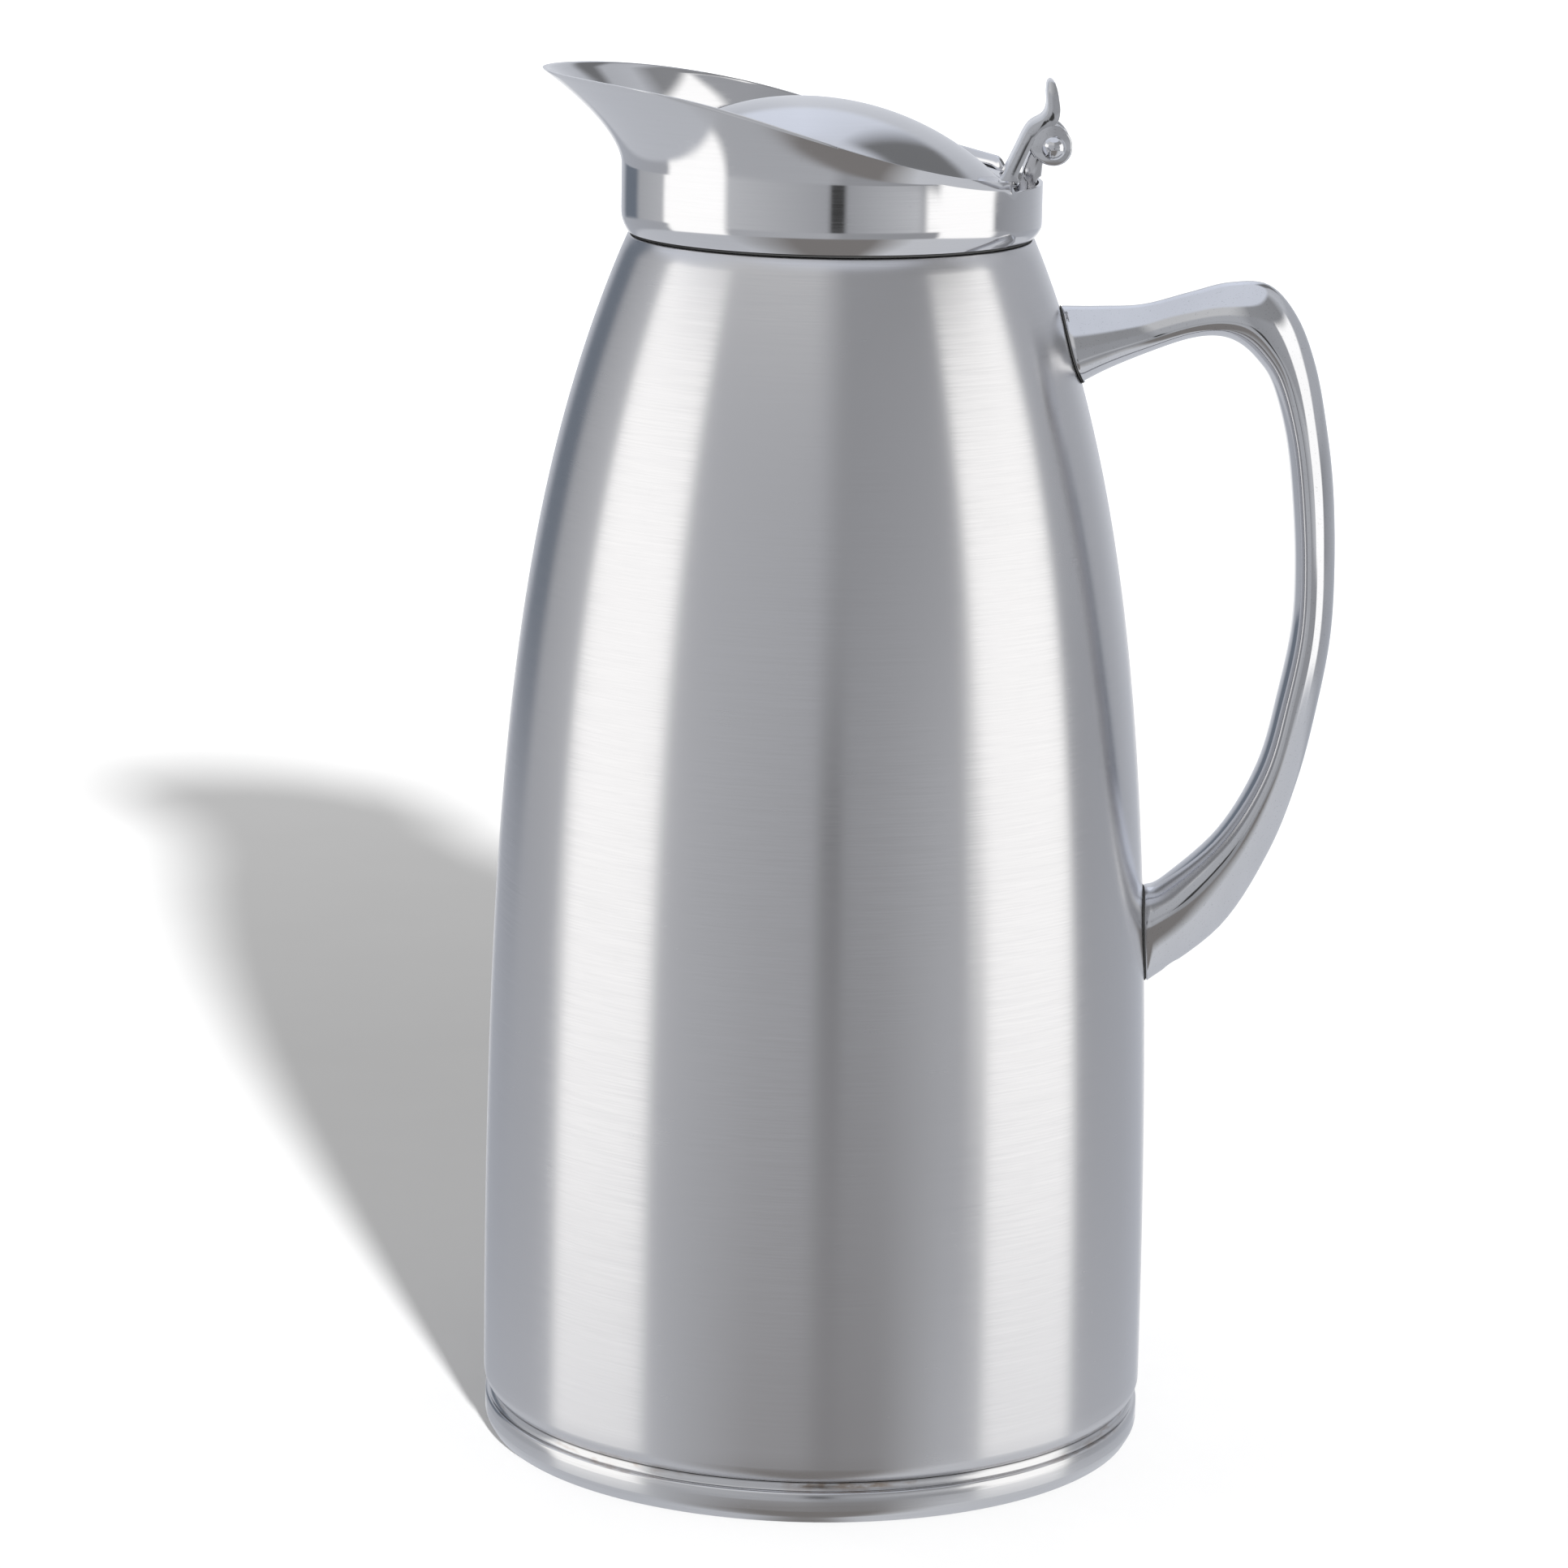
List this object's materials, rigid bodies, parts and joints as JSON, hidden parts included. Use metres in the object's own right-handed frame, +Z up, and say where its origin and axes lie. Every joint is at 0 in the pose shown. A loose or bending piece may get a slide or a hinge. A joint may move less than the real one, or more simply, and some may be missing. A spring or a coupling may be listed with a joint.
{
  "type": "insulated coffee server",
  "caption": "Double-walled steel coffee server with a wide pouring beak, a cast loop handle and a domed lid that lifts on a rear hinge when its thumb lever is pressed.",
  "frame": {"origin": "on the body axis, on the resting plane under the base", "axes": "+Z up along the body axis, the spout points along -X and the handle along +X, the hinge pin lies along Y"},
  "size_m": [0.1693, 0.1348, 0.2762],
  "materials": {
    "brushed_steel": "stainless steel, fine horizontal brushing, satin",
    "liner_steel": "stainless steel, plain drawn finish",
    "polished_steel": "stainless steel, mirror polished",
    "ring_steel": "stainless steel, bright, slightly worn",
    "cast_steel": "cast stainless steel, polished",
    "screw_steel": "dark oxide steel",
    "bush_brass": "turned brass",
    "braze_brass": "brazed cap",
    "getter_alloy": "pressed metal powder",
    "black_rubber": "matt moulded rubber",
    "clear_silicone": "milky silicone",
    "foam": "rigid insulating foam"
  },
  "bodies": {
    "vessel": {"outer_shell": "brushed_steel", "inner_liner": "liner_steel", "liner_neck": "liner_steel", "outer_bottom": "liner_steel", "getter_cup": "liner_steel", "getter_tablet": "getter_alloy", "seal_off_cap": "braze_brass", "base_ring": "ring_steel", "base_cover": "liner_steel", "base_pad": "black_rubber", "neck_gasket": "black_rubber", "pour_collar": "polished_steel", "lid_seat": "liner_steel", "hinge_bracket": "polished_steel", "hinge_bush": "bush_brass", "handle": "cast_steel", "upper_handle_pad": "black_rubber", "lower_handle_pad": "black_rubber", "upper_stud": "liner_steel", "lower_stud": "liner_steel", "upper_set_screw": "screw_steel", "lower_set_screw": "screw_steel"},
    "lid": {"lid_dome": "polished_steel", "lid_insulation": "foam", "lid_base_plate": "liner_steel", "lid_gasket": "clear_silicone", "lid_lever": "cast_steel", "lever_rivets": "polished_steel", "hinge_pin": "cast_steel", "pin_cap": "cast_steel"}
  },
  "joints": [
    {"name": "lid_hinge", "type": "hinge", "parent": "vessel", "child": "lid", "pos_m": [0.0431, 0, 0.2627], "axis": [0, 1, 0], "range_deg": [0, 85]}
  ]
}
